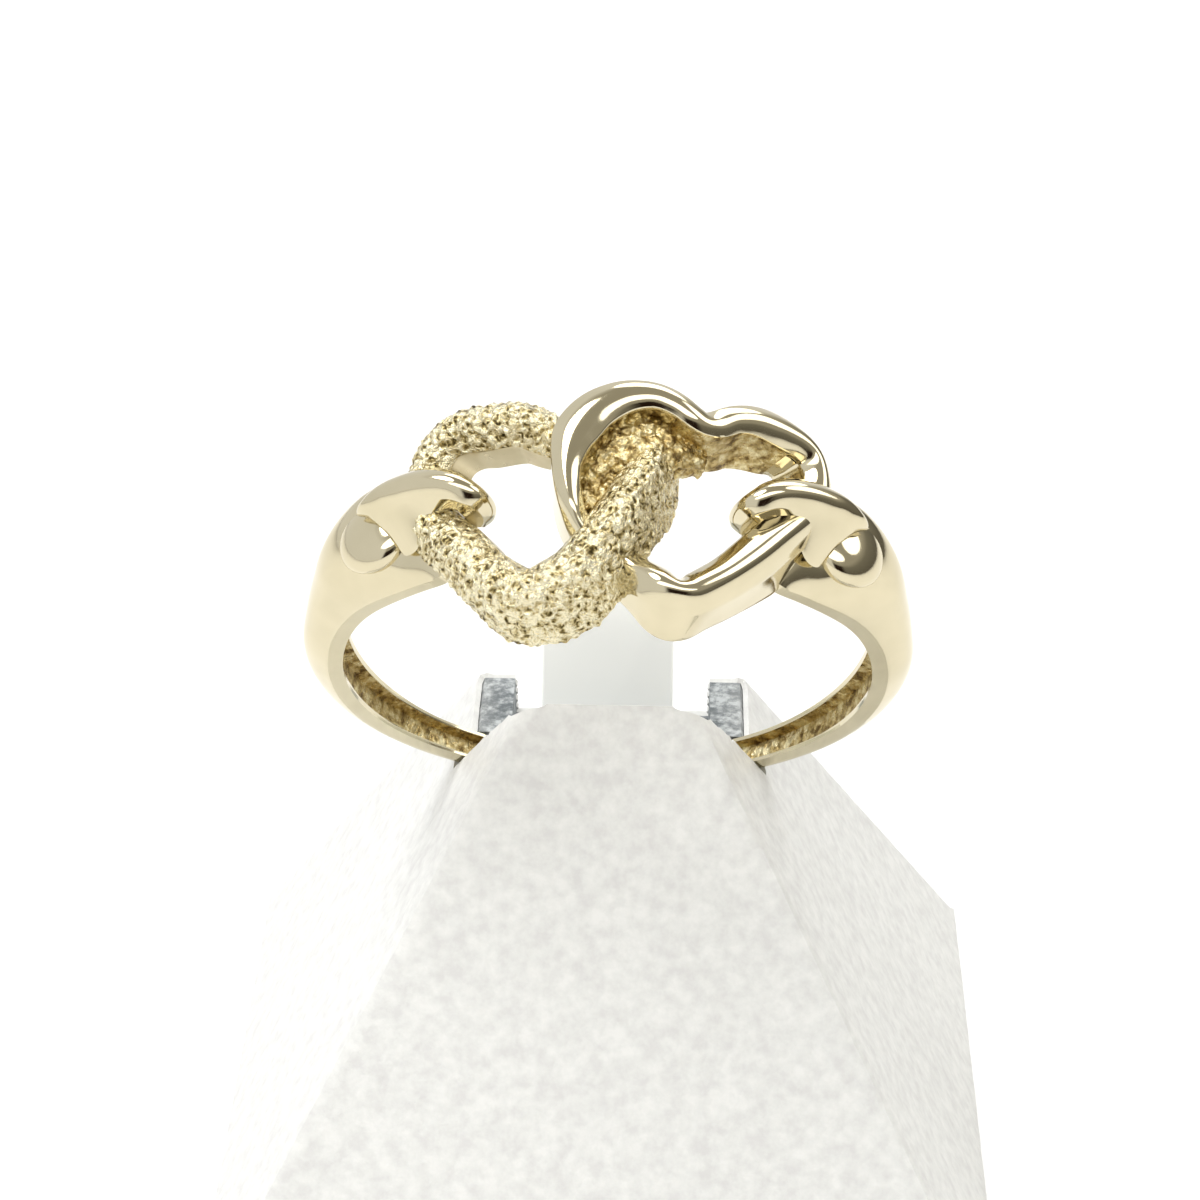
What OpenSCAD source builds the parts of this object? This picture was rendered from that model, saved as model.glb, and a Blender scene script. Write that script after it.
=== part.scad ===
// Gold ring with two interlocked open hearts, standing in the slot of a small display stand.
// Millimetres, +Z up. The origin is the centre of the stand's base, and the front faces -Y.

/* [Ring size] */
// Inner diameter of the ring, where the finger goes
finger_d = 17.4; // [17.2:0.1:17.6]
// How far the ring leans forward, towards the front, in degrees
ring_lean = 33.5; // [30:0.5:36]
// How far the head of the ring is turned off the top, in degrees
ring_roll = 1; // [-3:0.5:3]

/* [Shank] */
// Width of the shank at the back of the finger
shank_w_back = 1.0; // [0.9:0.05:1.1]
// Width of the shank at the sides of the finger
shank_w_side = 1.9; // [1.5:0.1:2.2]
// Width of the shank at the shoulders
shank_w_shoulder = 2.7; // [2.4:0.1:3]
// Thickness of the shank at its rims
shank_rim = 0.55; // [0.5:0.05:0.65]
// Height of the rounded outside of the shank above its rims, at the sides
shank_crown = 0.8; // [0.7:0.05:1]
// Height of the rounded outside of the shank above its rims, at the shoulders
shoulder_crown = 1.8; // [1.6:0.05:2]
// Depth of the channel cast into the inside of the shank
channel_depth = 0.4; // [0.2:0.05:0.45]
// Width of the rims that the channel leaves
channel_rim = 0.24; // [0.2:0.02:0.3]

/* [Hearts] */
// Height of the rounded top of the stardust heart's limbs
stardust_crown = 0.75; // [0.5:0.05:0.9]
// Height of the rounded top of the polished heart's limbs
polished_crown = 0.65; // [0.5:0.05:0.9]

/* [Stand] */
// Width and depth of the stand's square base
base_w = 27.3; // [27:0.1:28]
// Height at which the stand's four faces would meet
apex_h = 23.7; // [23.4:0.1:24]
// Thickness of the leatherette cover
cover_t = 0.25; // [0.2:0.05:0.4]
// Height of the stand's rear half
rear_h = 15.3; // [15:0.1:16]
// Height of the front panel's blunt top edge
front_h = 18.6; // [18.2:0.05:18.6]
// Width of the notch in the rear half
notch_w = 6.95; // [6.5:0.05:7.2]
// Height of the notch's floor
notch_floor = 13.2; // [12.8:0.1:13.6]

/* [Clip tab] */
// Width of the plastic tab
tab_w = 4.6; // [4:0.1:5]
// Thickness of the plastic tab
tab_t = 0.7; // [0.5:0.05:0.9]
// Height of the tab's top above the table
tab_top = 20.6; // [19:0.1:21]

/* [Hidden] */

finger_r = finger_d / 2;
// Centre of the finger hole
ring_centre = [-0.07, -3.8, 21.15];
// Clearance between pieces that stand beside each other
gap = 0.05;

// Steps between two rows of a heart's table, and between the points of a rounded top
row_steps = 4;
crown_steps = 6;

// Columns: turn from the top of the ring in degrees, place along the finger,
// half width, and the heights of underside and crown above the finger hole
stardust_rows = [
    [-13.3, -3.42, 1.00, 0.10, 1.95],
    [-19.8, -2.86, 0.99, 0.10, 1.95],
    [-27.3, -1.80, 0.95, 0.10, 1.95],
    [-33.4, -0.80, 0.90, 0.10, 1.90],
    [-36.6, 0.55, 0.85, 0.10, 1.85],
    [-35.9, 1.95, 0.78, 0.10, 1.85],
    [-31.2, 2.88, 0.75, 0.10, 1.90],
    [-24.3, 3.12, 0.74, 0.10, 1.95],
    [-17.5, 3.05, 0.74, 0.10, 1.85],
    [-12.0, 2.65, 0.74, 0.10, 1.50],
    [-7.3, 1.95, 0.72, 0.10, 1.30],
    [-2.5, 1.10, 1.15, 0.10, 1.30],
    [2.2, 1.30, 1.55, 0.10, 1.40],
    [6.0, 1.45, 1.30, 0.15, 1.60],
    [7.3, 0.65, 0.95, 0.30, 1.95],
    [4.8, -0.45, 1.00, 0.50, 2.15],
    [1.2, -1.50, 1.00, 0.80, 2.25],
    [-3.2, -2.35, 0.98, 0.60, 2.15],
    [-8.0, -3.10, 0.96, 0.20, 2.00],
];
polished_rows = [
    [11.7, -3.30, 0.74, 0.10, 2.10],
    [7.3, -2.70, 0.68, 0.10, 1.95],
    [2.8, -2.00, 0.68, 0.10, 1.45],
    [-2.2, -1.30, 0.70, 0.15, 1.50],
    [-6.0, -0.40, 0.74, 0.50, 2.15],
    [-7.2, 0.80, 0.78, 0.90, 2.55],
    [-5.9, 1.95, 0.80, 1.10, 2.70],
    [-2.4, 2.72, 0.80, 1.15, 2.65],
    [2.8, 3.05, 0.78, 1.15, 2.60],
    [8.0, 3.00, 0.74, 1.10, 2.60],
    [12.6, 2.75, 0.72, 0.60, 2.50],
    [16.4, 2.20, 0.72, 0.10, 2.10],
    [20.3, 2.60, 0.78, 0.10, 2.15],
    [25.5, 2.82, 0.80, 0.10, 2.15],
    [31.0, 2.65, 0.80, 0.10, 2.10],
    [35.8, 2.00, 0.82, 0.10, 2.00],
    [37.2, 0.90, 0.86, 0.10, 2.00],
    [34.3, -0.20, 0.90, 0.10, 2.05],
    [29.0, -1.10, 0.92, 0.10, 2.10],
    [23.0, -2.00, 0.90, 0.10, 2.10],
    [17.0, -2.80, 0.84, 0.10, 2.10],
];
// Columns: turn from the head's middle in degrees, place along the finger,
// height of the middle above the finger hole, half width, half thickness
link_rows = [
    [45.5, 0.72, 1.30, 0.54, 0.42],
    [42.8, 0.82, 1.75, 0.46, 0.42],
    [39.0, 0.90, 2.02, 0.42, 0.42],
    [34.5, 0.92, 2.10, 0.42, 0.42],
    [30.0, 0.86, 1.98, 0.42, 0.42],
    [27.0, 0.68, 1.60, 0.42, 0.40],
    [26.0, 0.48, 1.05, 0.40, 0.38],
    [26.6, 0.34, 0.55, 0.38, 0.34],
];
link_crown = 0.32;
// Columns: turn from the top in degrees, width, rim thickness, crown height, channel depth
shank_rows = [
    [36, shank_w_shoulder + 0.1, shank_rim + 0.1, shoulder_crown - 0.3, 0],
    [46, shank_w_shoulder, shank_rim + 0.05, shoulder_crown, 0],
    [53, shank_w_shoulder * 0.93, shank_rim, shoulder_crown - 0.08, 0],
    [60, shank_w_shoulder * 0.83, shank_rim, shoulder_crown - 0.38, 0],
    [68, shank_w_shoulder * 0.74, shank_rim, shank_crown + 0.23, 0],
    [78, shank_w_side, shank_rim, shank_crown + 0.05, 0.5 * channel_depth],
    [90, shank_w_side, shank_rim, shank_crown, channel_depth],
    [115, shank_w_side * 0.82, shank_rim, shank_crown * 0.75, channel_depth],
    [145, shank_w_back * 1.05, shank_rim, shank_crown * 0.6, channel_depth],
    [180, shank_w_back, shank_rim, shank_crown * 0.5, channel_depth],
];
// How full the shank's rounded outside is: 2 is a parabola, more is flatter on top
shank_fullness = 2.5;
// Columns of each knob: turn, place along the finger, radius of the rounded edge
knob_rows = [
    [50.2, 0.20, 0.75],
    [48.0, 0.15, 1.10],
    [45.0, 0.10, 1.25],
    [42.0, 0.10, 1.25],
    [39.0, 0.15, 1.20],
];
// Columns of a knob's dome: share of the radius, height above the finger hole
knob_steps = [[1, 1.62], [0.8, 2.15], [0.45, 2.5]];
// Height at which a knob's wall starts, inside the shank
knob_foot = 0.3;

// A point at a turn round the ring, at a radius, at a place along the finger
function on_ring(turn, radius, along) = [radius * sin(turn), along, radius * cos(turn)];

// A smooth curve through rows of numbers, all columns at once
function curve(a, b, c, d, t) =
    0.5 * (2 * b + (c - a) * t + (2 * a - 5 * b + 4 * c - d) * t * t + (3 * b - a - 3 * c + d) * t * t * t);
function closed_curve(rows, steps) = let (n = len(rows)) [
    for (i = [0:n - 1])
        for (k = [0:steps - 1])
            curve(rows[(i + n - 1) % n], rows[i], rows[(i + 1) % n], rows[(i + 2) % n], k / steps)
];
function open_curve(rows, steps) = let (n = len(rows)) concat([
    for (i = [0:n - 2])
        for (k = [0:steps - 1])
            curve(rows[max(i - 1, 0)], rows[i], rows[i + 1], rows[min(i + 2, n - 1)], k / steps)
], [rows[n - 1]]);

// Outline of a limb: two upright walls and a rounded top that meets them in a crisp edge
function limb_outline(half_w, under, top, crown) = concat(
    [[half_w, under]],
    [for (k = [0:crown_steps]) let (x = 1 - 2 * k / crown_steps) [half_w * x, top - crown * x * x]],
    [[-half_w, under]]
);

// The outline of one row, set across the path from the row before to the row after
function limb_section(before, row, after, crown) =
    let (
        outward = [sin(row[0]), 0, cos(row[0])],
        ahead = on_ring(after[0], finger_r + 1, after[1]) - on_ring(before[0], finger_r + 1, before[1]),
        across = cross(outward, ahead) / norm(cross(outward, ahead))
    )
    [for (q = limb_outline(row[2], row[3], row[4], crown))
        [0, row[1], 0] + outward * (finger_r + q[1]) + across * q[0]];

function shank_section(row) =
    let (
        half_w = row[1] / 2,
        inner = half_w - channel_rim,
        outer = [for (k = [0:crown_steps])
            let (x = 1 - 2 * k / crown_steps)
                [half_w * x, row[2] + row[3] * (1 - pow(abs(x), shank_fullness))]],
        inside = [[-half_w, 0], [-inner, 0], [-inner * 0.8, row[4]], [inner * 0.8, row[4]], [inner, 0], [half_w, 0]]
    )
    [for (q = concat(outer, inside)) on_ring(row[0], finger_r + q[1], q[0])];

// Skin between sections that all have the same number of points
module skin(sections, closed) {
    n = len(sections);
    m = len(sections[0]);
    spans = closed ? n : n - 1;
    sides = [
        for (i = [0:spans - 1])
            for (j = [0:m - 1])
                let (i2 = (i + 1) % n, j2 = (j + 1) % m)
                    [i * m + j, i2 * m + j, i2 * m + j2, i * m + j2]
    ];
    ends = closed ? [] : [[for (j = [0:m - 1]) j], [for (j = [m - 1:-1:0]) (n - 1) * m + j]];
    polyhedron(points = [for (s = sections) for (p = s) p], faces = concat(sides, ends));
}

module heart(rows, crown) {
    path = closed_curve(rows, row_steps);
    n = len(path);
    skin([for (i = [0:n - 1]) limb_section(path[(i + n - 1) % n], path[i], path[(i + 1) % n], crown)], true);
}

// The section of a bar that climbs and dives, set square to the path through its middle
function bar_section(before, row, after, crown) =
    let (
        ahead = on_ring(after[0], finger_r + after[2], after[1]) - on_ring(before[0], finger_r + before[2], before[1]),
        along = ahead / norm(ahead),
        across = cross(along, cross([0, 1, 0], along)),
        outward = cross(along, across)
    )
    [for (q = limb_outline(row[3], -row[4], row[4], crown))
        on_ring(row[0], finger_r + row[2], row[1]) + outward * q[1] + across * q[0]];

module link() {
    path = open_curve(link_rows, 3);
    n = len(path);
    skin([for (i = [0:n - 1]) bar_section(path[max(i - 1, 0)], path[i], path[min(i + 1, n - 1)], link_crown)], false);
}

module shank() {
    half = open_curve(shank_rows, 4);
    other = [for (i = [len(half) - 2:-1:0]) concat([360 - half[i][0]], [for (k = [1:4]) half[i][k]])];
    skin([for (row = concat(half, other)) shank_section(row)], false);
}

module knob_disc(row) {
    rotate([0, row[0], 0]) translate([0, row[1], finger_r + knob_foot])
        for (step = knob_steps) cylinder(r = row[2] * step[0], h = step[1] - knob_foot, $fn = 24);
}

module knob() {
    for (i = [0:len(knob_rows) - 2]) hull() {
        knob_disc(knob_rows[i]);
        knob_disc(knob_rows[i + 1]);
    }
}

module in_ring_frame() {
    translate(ring_centre) rotate([ring_lean, 0, 0]) children();
}

module ring() {
    color([0.87, 0.76, 0.5]) in_ring_frame() rotate([0, ring_roll, 0]) {
        shank();
        heart(stardust_rows, stardust_crown);
        heart(polished_rows, polished_crown);
        for (side = [0, 1]) mirror([side, 0, 0]) {
            link();
            knob();
        }
    }
}

// A pyramid whose faces lie a distance inside those of the stand
module pyramid(inset) {
    slope = atan(base_w / 2 / apex_h);
    difference() {
        translate([-base_w / 2, -base_w / 2, 0]) cube([base_w, base_w, apex_h]);
        for (face = [0:3]) rotate([0, 0, 90 * face]) translate([0, -base_w / 2, 0]) rotate([-slope, 0, 0])
            translate([-base_w, inset - base_w, -base_w]) cube([2 * base_w, base_w, 4 * base_w]);
    }
}

// The slot takes the back of the shank with a little room on each side and below
slot_half = shank_w_back * 0.525 + gap;
slot_floor = finger_r + shank_rim + shank_crown * 0.5 + 2 * gap;
// Where the cover wraps over the top of the front panel and down into the slot
lining_depth = 3;
// Front of the notch, front and foot of the tab, and the tab's place from left to right
notch_y = 1.8;
tab_y = 2.15;
tab_foot = 10.5;
tab_x = -0.15;

// The room that is cut from the stand: the slot, the space over the rear half, the notch
module stand_cuts() {
    in_ring_frame() translate([-base_w, -slot_half, -slot_floor]) cube([2 * base_w, 2 * slot_half, 2 * apex_h]);
    translate([-base_w / 2, ring_centre[1] - 1, front_h]) cube([base_w, base_w, apex_h]);
    intersection() {
        translate([-base_w / 2, -base_w / 2, rear_h]) cube([base_w, base_w, apex_h]);
        in_ring_frame() translate([-base_w, 0, -slot_floor]) cube([2 * base_w, base_w, 2 * apex_h]);
    }
    translate([-notch_w / 2, notch_y, notch_floor]) cube([notch_w, base_w / 2, apex_h]);
}

// The room that the core fills inside the cover: all but a skin, and a lining at the front panel's top
module core_room(inset) {
    difference() {
        pyramid(inset);
        in_ring_frame() translate([-base_w, -slot_half - inset, lining_depth - slot_floor + cover_t - inset])
            cube([2 * base_w, slot_half + inset, 2 * apex_h]);
        translate([-base_w / 2, -base_w / 2, front_h - cover_t - inset]) cube([base_w, base_w, apex_h]);
    }
}

module tab_body(grow) {
    translate([tab_x - tab_w / 2 - grow, tab_y - grow, tab_foot - grow])
        cube([tab_w + 2 * grow, tab_t + 2 * grow, tab_top - tab_foot + grow]);
}

module stand_core() {
    color([0.42, 0.44, 0.46]) difference() {
        core_room(cover_t);
        stand_cuts();
        tab_body(gap);
    }
}

module stand_cover() {
    color([0.93, 0.93, 0.91]) difference() {
        pyramid(0);
        stand_cuts();
        core_room(cover_t - gap);
    }
}

module clip_tab() {
    color([0.9, 0.92, 0.91]) tab_body(0);
}

ring();
stand_core();
stand_cover();
clip_tab();
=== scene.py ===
"""Dresses the gold ring, two interlocked open hearts on a tapering shank, and its display stand."""
from math import cos, hypot, pi, radians, sin, sqrt

import bmesh
import bpy
from mathutils import Matrix, Vector


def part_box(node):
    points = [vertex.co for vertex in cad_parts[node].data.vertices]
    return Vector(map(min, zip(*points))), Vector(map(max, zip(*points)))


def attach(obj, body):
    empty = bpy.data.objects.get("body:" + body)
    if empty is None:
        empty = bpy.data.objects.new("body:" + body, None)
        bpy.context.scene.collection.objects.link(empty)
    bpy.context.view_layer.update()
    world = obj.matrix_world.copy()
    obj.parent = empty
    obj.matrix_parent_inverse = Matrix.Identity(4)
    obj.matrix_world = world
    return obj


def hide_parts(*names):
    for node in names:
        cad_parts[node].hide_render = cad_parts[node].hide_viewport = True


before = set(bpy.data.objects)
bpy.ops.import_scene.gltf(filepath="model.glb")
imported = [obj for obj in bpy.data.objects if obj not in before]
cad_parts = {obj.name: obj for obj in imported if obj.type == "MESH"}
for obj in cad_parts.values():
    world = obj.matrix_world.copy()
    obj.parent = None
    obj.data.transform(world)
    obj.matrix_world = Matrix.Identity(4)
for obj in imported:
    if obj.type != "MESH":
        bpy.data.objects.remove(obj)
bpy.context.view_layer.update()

# Measures are in millimetres, as in the part's source, and MM turns them into metres
MM = 0.001
# Inner radius of the ring, its centre, how far it leans in the slot and how far it is turned there
FINGER_R = 8.7
RING_CENTRE = Vector((-0.07, -3.8, 21.15)) * MM
RING_LEAN = 33.5
RING_TURN = 1
# In both frames the finger hole lies along Y, with the hearts on top
SLOT_FRAME = Matrix.Translation(RING_CENTRE) @ Matrix.Rotation(radians(RING_LEAN), 4, "X")
RING_FRAME = SLOT_FRAME @ Matrix.Rotation(radians(RING_TURN), 4, "Y")

# Turn from the top of the ring in degrees, place along the finger, half width at the crisp edges,
# underside, top, share of the crown's height, spread of the outer and of the inner wall at the foot
STARDUST_ROWS = [
    (-14.6, -3.04, 0.88, 0.10, 1.95, 1, 0.38, 0),
    (-17.8, -2.90, 0.91, 0.10, 1.95, 1, 0.25, 0),
    (-21.0, -2.52, 0.92, 0.10, 1.95, 1, 0.1, 0),
    (-24.0, -2.08, 0.93, 0.10, 1.95, 1, 0, 0),
    (-28.0, -1.22, 0.92, 0.10, 1.95, 1, 0, 0),
    (-31.6, -0.60, 0.90, 0.10, 1.90, 1, 0.05, 0),
    (-35.4, 0.25, 0.86, 0.10, 1.85, 1, 0.10, 0),
    (-36.7, 1.15, 0.82, 0.10, 1.85, 1, 0, 0),
    (-35.9, 2.05, 0.78, 0.10, 1.85, 1, 0, 0),
    (-33.6, 2.66, 0.77, 0.10, 1.90, 1, 0, 0),
    (-30.8, 2.98, 0.78, 0.10, 1.95, 1, 0, 0),
    (-27.2, 3.12, 0.82, 0.10, 1.95, 1, 0, 0),
    (-23.6, 3.08, 0.86, 0.10, 1.95, 1, 0, 0),
    (-19.5, 3.04, 0.82, 0.10, 1.95, 1, 0, 0),
    (-16.1, 2.93, 0.76, 0.10, 1.90, 1, 0, 0),
    (-13.0, 2.70, 0.76, 0.10, 1.75, 1, 0, 0),
    (-9.5, 2.50, 0.70, 0.10, 1.40, 0.8, 0, 0),
    (-4.5, 2.50, 0.60, 0.10, 1.25, 0.6, 0, 0),
    (0.5, 2.68, 0.50, 0.10, 1.25, 0.6, 0, 0),
    (4.2, 2.72, 0.45, 0.10, 1.25, 0.8, 0, 0),
    (6.5, 2.45, 0.55, 0.10, 1.45, 0.8, 0.1, 0),
    (7.0, 1.85, 0.68, 0.10, 1.75, 1, 0.3, 0),
    (5.7, 1.15, 0.74, 0.10, 1.97, 1, 0.5, 0),
    (3.5, 0.30, 0.78, 0.20, 2.12, 1, 0.6, 0),
    (1.8, -0.33, 0.80, 0.55, 2.20, 1, 0.5, 0),
    (0.2, -0.92, 0.88, 0.70, 2.22, 1, 0.4, 0),
    (-3.3, -1.88, 0.92, 0.50, 2.15, 1, 0.35, 0),
    (-6.5, -2.50, 0.95, 0.20, 2.05, 1, 0.4, 0),
    (-10.8, -2.90, 0.95, 0.10, 2.00, 1, 0.4, 0),
]
POLISHED_ROWS = [
    (11.3, -3.13, 0.54, 0.10, 2.05, 1, 0.39, 0),
    (9.0, -2.99, 0.62, 0.10, 2.05, 1, 0.18, 0),
    (7.0, -2.72, 0.67, 0.10, 1.95, 1, 0, 0),
    (2.8, -2.05, 0.66, 0.10, 1.45, 1, 0, 0),
    (-2.2, -1.35, 0.60, 0.15, 1.45, 1, 0, 0),
    (-5.4, -0.95, 0.42, 0.10, 1.75, 0.8, 0.1, 0),
    (-6.8, -0.45, 0.38, 0.10, 2.05, 0.6, 0.2, 0),
    (-7.6, 0.20, 0.40, 0.10, 2.19, 0.45, 0.25, 0),
    (-7.9, 0.85, 0.45, 0.20, 2.28, 0.42, 0.25, 0),
    (-7.5, 1.52, 0.60, 0.60, 2.32, 0.45, 0.15, 0),
    (-6.4, 2.12, 0.74, 0.90, 2.34, 0.5, 0, 0),
    (-3.6, 2.81, 0.71, 1.10, 2.34, 0.5, 0, 0),
    (0.2, 3.25, 0.62, 1.10, 2.34, 0.48, 0, 0),
    (3.6, 3.42, 0.53, 1.10, 2.33, 0.42, 0, 0),
    (7.1, 3.41, 0.46, 1.10, 2.32, 0.38, 0, 0),
    (10.4, 3.18, 0.43, 0.95, 2.29, 0.36, 0, 0),
    (13.0, 2.88, 0.41, 0.65, 2.23, 0.35, 0, 0),
    (15.4, 2.76, 0.43, 0.10, 2.10, 0.35, 0, 0.20),
    (17.9, 2.90, 0.50, 0.10, 1.98, 0.38, 0, 0.35),
    (20.6, 3.18, 0.50, 0.10, 1.98, 0.40, 0, 0.40),
    (23.2, 3.32, 0.52, 0.10, 1.98, 0.42, 0, 0.40),
    (25.8, 3.37, 0.56, 0.10, 1.98, 0.50, 0, 0.35),
    (28.8, 3.34, 0.60, 0.10, 1.98, 0.6, 0, 0.25),
    (31.9, 3.26, 0.60, 0.10, 1.98, 0.7, 0, 0.15),
    (35.0, 3.10, 0.54, 0.10, 2.00, 0.8, 0, 0),
    (37.4, 2.78, 0.50, 0.10, 2.00, 0.9, 0, 0),
    (38.6, 2.20, 0.52, 0.10, 2.00, 0.9, 0, 0),
    (38.6, 1.48, 0.62, 0.10, 2.00, 0.9, 0, 0),
    (37.0, 0.80, 0.70, 0.10, 2.00, 1, 0.1, 0),
    (33.2, 0.12, 0.76, 0.10, 2.05, 1, 0.4, 0),
    (29.6, -0.55, 0.76, 0.10, 2.05, 1, 0.55, 0),
    (25.8, -1.28, 0.74, 0.10, 2.05, 1, 0.42, 0),
    (20.5, -2.21, 0.68, 0.10, 2.05, 1, 0.25, 0),
    (15.6, -2.88, 0.67, 0.10, 2.05, 1, 0.15, 0),
    (13.6, -3.08, 0.63, 0.10, 2.05, 1, 0.26, 0),
]
FILLING_ROWS = [
    (-3.7, -0.35, 0.40, 0.10, 1.10, 0.5, 0, 0),
    (-3.9, 0.45, 0.55, 0.10, 1.30, 0.5, 0, 0),
    (-3.0, 1.15, 0.75, 0.10, 1.48, 0.5, 0, 0),
    (-0.8, 1.65, 0.95, 0.10, 1.60, 0.5, 0, 0),
    (2.0, 1.95, 1.15, 0.10, 1.68, 0.5, 0, 0),
    (6.0, 2.15, 1.15, 0.10, 1.66, 0.5, 0, 0),
    (10.0, 2.25, 0.90, 0.10, 1.56, 0.5, 0, 0),
    (14.0, 2.25, 0.62, 0.10, 1.30, 0.5, 0, 0),
    (17.5, 2.30, 0.50, 0.10, 1.00, 0.5, 0, 0),
]
STARDUST_CROWN = 0.75
POLISHED_CROWN = 0.6
# Turn, place along the finger, height of the middle, half width, half thickness, flare of the front wall
LINK_ROWS = [
    (44.7, 0.74, 1.86, 0.16, 0.60, 0.30),
    (44.2, 0.78, 1.94, 0.36, 0.62, 0.88),
    (42.8, 0.86, 1.94, 0.48, 0.68, 1.14),
    (40.8, 0.93, 1.92, 0.52, 0.72, 1.22),
    (38.0, 0.96, 1.95, 0.53, 0.70, 1.18),
    (34.5, 0.96, 2.05, 0.54, 0.56, 0.75),
    (30.8, 0.88, 2.07, 0.53, 0.46, 0.32),
    (27.6, 0.72, 1.95, 0.49, 0.44, 0.10),
    (25.5, 0.50, 1.65, 0.47, 0.45, 0.0),
    (24.9, 0.42, 1.25, 0.46, 0.46, 0.0),
    (25.4, 0.46, 0.75, 0.46, 0.46, 0.0),
    (26.6, 0.55, 0.30, 0.45, 0.42, 0.0),
]
LINK_CROWN = 0.38
# Turn, place of the middle along the finger, width, thickness of the rims, height of the dome,
# rise of the back edge, depth of the channel
SHANK_ROWS = [
    (33.5, 0.55, 3.40, 0.40, 0.20, 0.05, 0.0),
    (36, 0.55, 3.90, 0.55, 0.48, 0.105, 0.0),
    (41.5, 0.55, 3.88, 0.65, 0.70, 0.21, 0.0),
    (47, 0.52, 3.72, 0.75, 1.16, 0.33, 0.0),
    (53, 0.44, 3.38, 0.75, 1.30, 0.26, 0.0),
    (60, 0.29, 2.81, 0.65, 1.30, 0.14, 0.0),
    (68, 0.15, 2.30, 0.55, 1.08, 0.035, 0.0),
    (78, 0.0, 1.90, 0.55, 0.85, 0.0, 0.2),
    (90, 0.0, 1.90, 0.55, 0.80, 0.0, 0.4),
    (115, 0.0, 1.56, 0.55, 0.60, 0.0, 0.4),
    (145, 0.0, 1.05, 0.55, 0.48, 0.0, 0.4),
    (180, 0.0, 1.00, 0.55, 0.40, 0.0, 0.4),
]

# Ribs for each row of a table
CURVE_STEPS = 3
FILLING_STEPS = 2
# Ribs of the polished heart's right lobe, and the shank's first rib whose inside is rough
RIGHT_LOBE = set(range(46, 71))
ROUGH_START = 17
# By this share the middle of a wall follows its foot: an outer wall, an inner one, a link's front one
OUTER_FOLLOWS = 0.45
INNER_FOLLOWS = 0.2
LINK_FOLLOWS = 0.5
# Bevels along crisp edges, the angle in degrees past which an edge is crisp, and a softer edge's crease
HEART_BEVEL = 0.05
LINK_BEVEL = 0.04
CRISP_ANGLE = 40
SOFT_CREASE = 0.6

# The knobs: turn of the middle and half the length in degrees, height of the widest line above the
# finger and its rise towards the back, place along the finger, half width, dome above and drop below,
# steps from tip to tip, and how far short of the tips the first and last ribs stand
KNOB_TURN = 47.3
KNOB_REACH = 7.2
KNOB_H = 1.50
KNOB_RISE = 0.22
KNOB_ALONG = 0.26
KNOB_HALF_W = 1.32
KNOB_DOME = 0.60
KNOB_DROP = 0.45
KNOB_STEPS = 12
KNOB_END = 0.03

# The stand: sides of the base, height at which its faces would meet, thickness of the leatherette,
# and how far the leatherette is set in to leave room for its grain
BASE_W = 27.3
APEX_H = 23.7
COVER_T = 0.2
COVER_INSET = 0.04
# Heights at which the rear half and the front panel end
REAR_H = 15.3
FRONT_H = 18.6
# The notch behind the slot
NOTCH_HALF = 3.475
NOTCH_FLOOR = 13.2
NOTCH_Y = 1.8
# The slot: half width, floor below the ring's centre, turn and radius round that centre at its ends
SLOT_HALF = 0.575
SLOT_FLOOR = 9.75
SLOT_END_TURN = 146
SLOT_END_R = 9.72
# Rounding of the cover's ridges and of the front panel's corners
RIDGE_ROUND = 0.32
CORNER_ROUND = 0.75
# The ridges are rounded above the first of these heights, and what lies below the second is laid flat
RIDGE_START = 0.01
FLAT_BELOW = 0.1
# The plastic tab: rounding of its upper corners and of its edges
TAB_CORNER = 0.6
TAB_EDGE = 0.12

# Faces narrower than this are dissolved after a bevel
LEAST_FACE = 0.001
# In metres: a move too short to make, and the distance below which two places are the same
LEAST_MOVE = 1e-7
SAME_PLACE = 1e-6


# Handling pieces

def select_nothing():
    bpy.ops.object.select_all(action="DESELECT")


def only(*pieces):
    """Selects these pieces alone, the first as the active one."""
    select_nothing()
    for piece in pieces:
        piece.select_set(True)
    bpy.context.view_layer.objects.active = pieces[0]


def open_mesh(piece, kind="VERT"):
    """Goes into edit mode on a piece, with nothing selected."""
    only(piece)
    bpy.ops.object.mode_set(mode="EDIT")
    bpy.ops.mesh.select_mode(type=kind)
    bpy.ops.mesh.select_all(action="DESELECT")


def close_mesh():
    bpy.ops.object.mode_set(mode="OBJECT")


def pick(piece, kind, wanted):
    """Selects the points, edges or faces for which wanted() holds, and nothing else."""
    bpy.ops.mesh.select_all(action="DESELECT")
    mesh = bmesh.from_edit_mesh(piece.data)
    for item in getattr(mesh, kind):
        if wanted(item):
            item.select_set(True)
    mesh.select_flush_mode()
    bmesh.update_edit_mesh(piece.data, loop_triangles=False, destructive=False)


def pick_points(piece, numbers):
    """Selects points by their numbers, and nothing else."""
    bpy.ops.mesh.select_all(action="DESELECT")
    mesh = bmesh.from_edit_mesh(piece.data)
    mesh.verts.ensure_lookup_table()
    for number in numbers:
        mesh.verts[number].select_set(True)
    mesh.select_flush_mode()


def apply_modifier(piece, kind, **settings):
    only(piece)
    modifier = piece.modifiers.new(kind.lower(), kind)
    for name, value in settings.items():
        setattr(modifier, name, value)
    bpy.ops.object.modifier_apply(modifier=modifier.name)


def subdivide(piece, levels):
    apply_modifier(piece, "SUBSURF", levels=levels, render_levels=levels)


def shade(piece, sharp):
    """Shades a piece smooth, up to edges of so many degrees."""
    only(piece)
    bpy.ops.object.shade_smooth_by_angle(angle=radians(sharp))


def settle(piece):
    """Puts a piece's place, turn and size into its mesh."""
    only(piece)
    bpy.ops.object.transform_apply(location=True, rotation=True, scale=True)


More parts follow.
